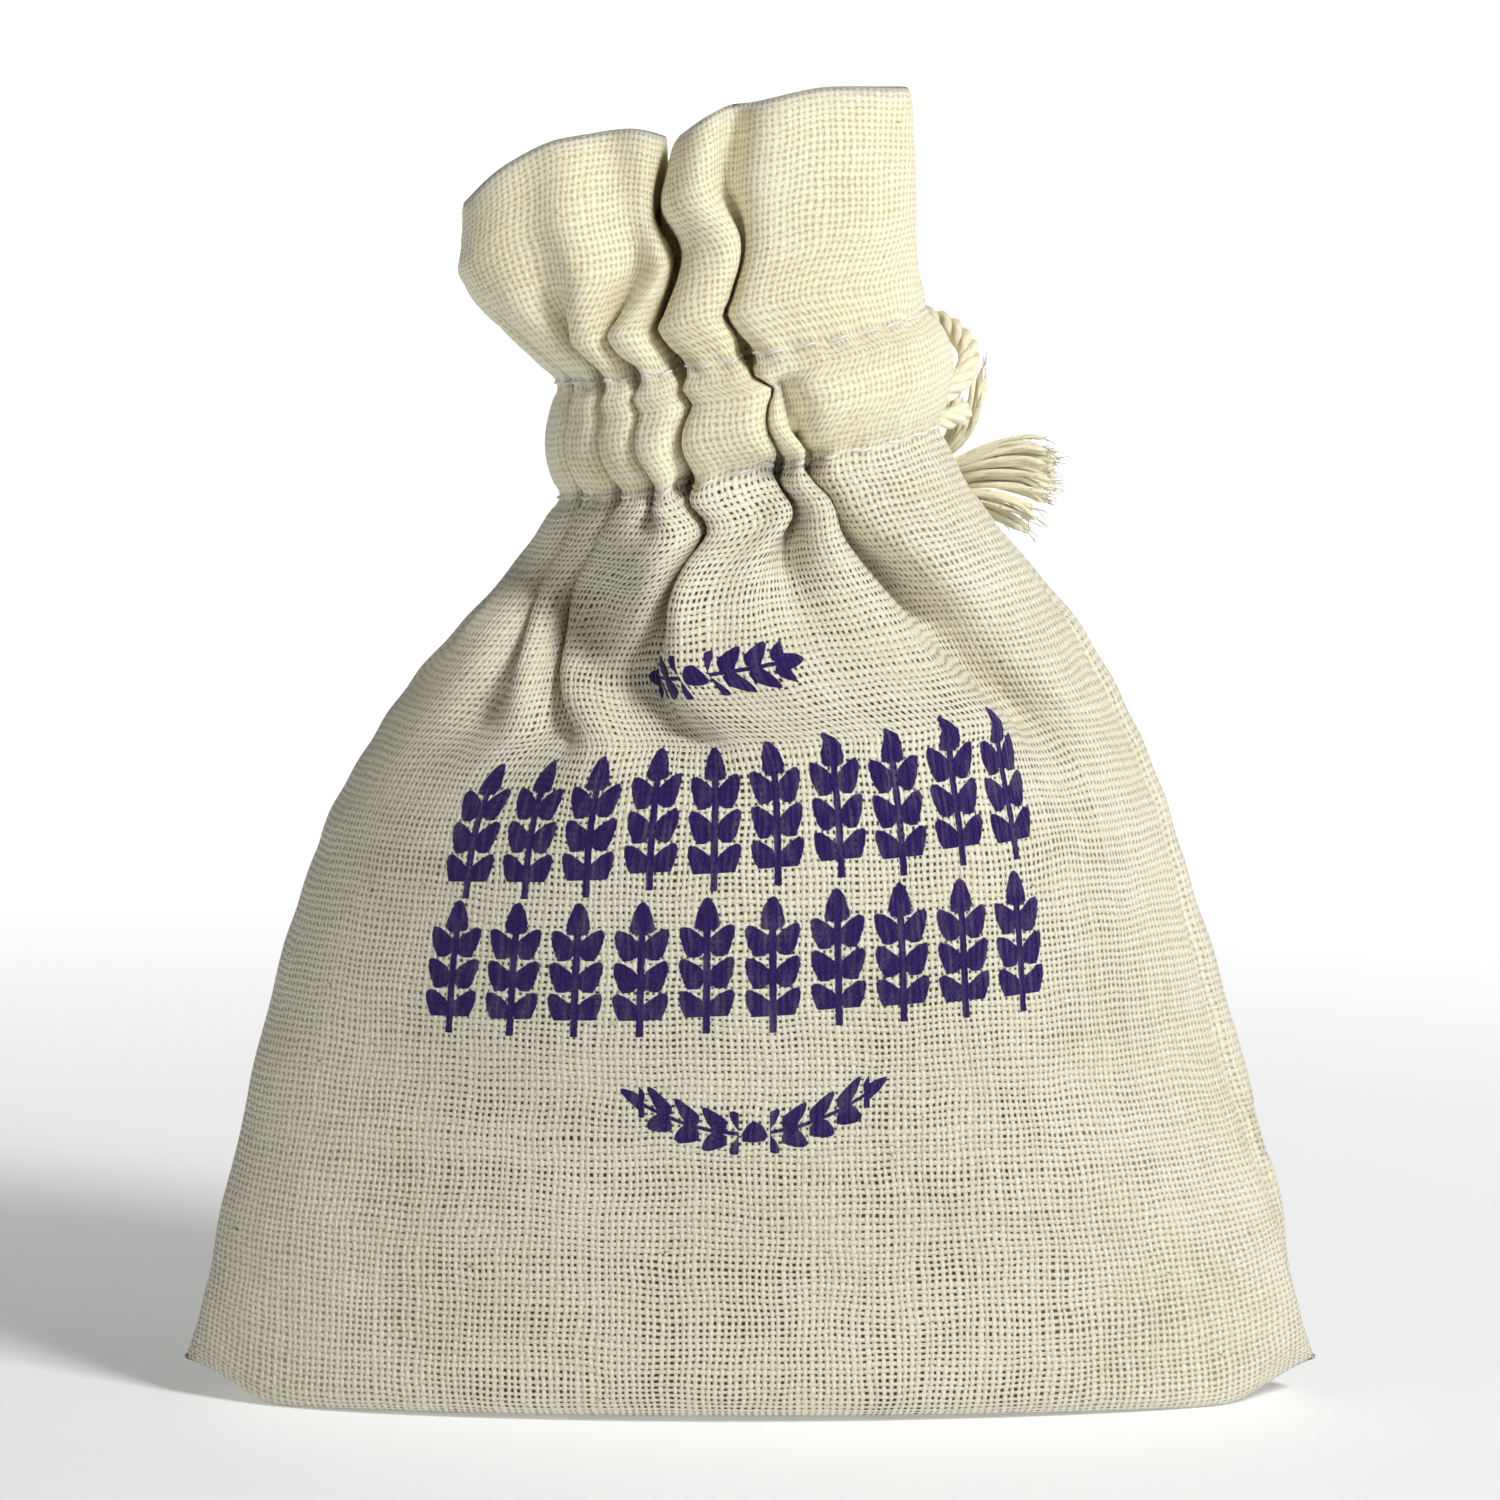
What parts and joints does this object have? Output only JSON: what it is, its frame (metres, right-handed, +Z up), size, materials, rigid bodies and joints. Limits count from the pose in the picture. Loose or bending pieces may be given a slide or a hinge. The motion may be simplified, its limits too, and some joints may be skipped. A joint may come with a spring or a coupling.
{
  "type": "drawstring herb sachet pouch",
  "caption": "Small unbleached muslin pouch filled with dried herbs, gathered at a stitched casing by a cotton drawcord that ends in a frayed tassel, with a ruffled heading above",
  "frame": {"origin": "centre of the base that the pouch stands on, at table height", "axes": "+Z up, the printed wide face looks along -Y, +X is the side where the cord leaves the casing"},
  "size_m": [0.0746, 0.0352, 0.0862],
  "materials": {
    "natural_cotton": "matte unbleached plain weave with open holes between the threads, slubs and brown flecks",
    "sewing_thread": "smooth off-white thread with a slight sheen",
    "cotton_cord": "soft twisted cream cotton yarn, fuzzy",
    "dried_herbs": "matte crumbly dried buds and leaf pieces"
  },
  "bodies": {
    "pouch": {"pouch_cloth": "natural_cotton", "herb_fill": "dried_herbs", "left_seam_allowance": "natural_cotton", "right_seam_allowance": "natural_cotton", "left_overlock_thread": "sewing_thread", "right_overlock_thread": "sewing_thread"},
    "neck": {"casing_front": "natural_cotton", "casing_back": "natural_cotton", "casing_lining_front": "natural_cotton", "casing_lining_back": "natural_cotton", "heading_front": "natural_cotton", "heading_back": "natural_cotton", "heading_facing_front": "natural_cotton", "heading_facing_back": "natural_cotton", "lower_stitch_row_front": "sewing_thread", "lower_stitch_row_back": "sewing_thread", "upper_stitch_row_front": "sewing_thread", "upper_stitch_row_back": "sewing_thread", "drawcord_loop": "cotton_cord"},
    "cord": {"cord_tail_a": "cotton_cord", "cord_tail_b": "cotton_cord"},
    "tassel": {"cord_knot": "cotton_cord", "upper_strand_1": "cotton_cord", "upper_strand_2": "cotton_cord", "main_strand_1": "cotton_cord", "main_strand_2": "cotton_cord", "main_strand_3": "cotton_cord", "main_strand_4": "cotton_cord", "main_strand_5": "cotton_cord", "lower_strand_1": "cotton_cord", "lower_strand_2": "cotton_cord"}
  },
  "joints": [
    {"name": "neck_tilt", "type": "hinge", "parent": "pouch", "child": "neck", "pos_m": [0, 0, 0.0622], "axis": [1, 0, 0], "range_deg": [-6, 20], "stiffness_Nm_per_rad": 0.003},
    {"name": "drawcord_pull", "type": "slide", "parent": "neck", "child": "cord", "axis": [1, 0, 0], "range_m": [0, 0.005]},
    {"name": "tassel_swing", "type": "hinge", "parent": "cord", "child": "tassel", "pos_m": [0.0117, 0.0098, 0.0609], "axis": [0, 1, 0], "range_deg": [-18, 6], "stiffness_Nm_per_rad": 0.0003}
  ]
}
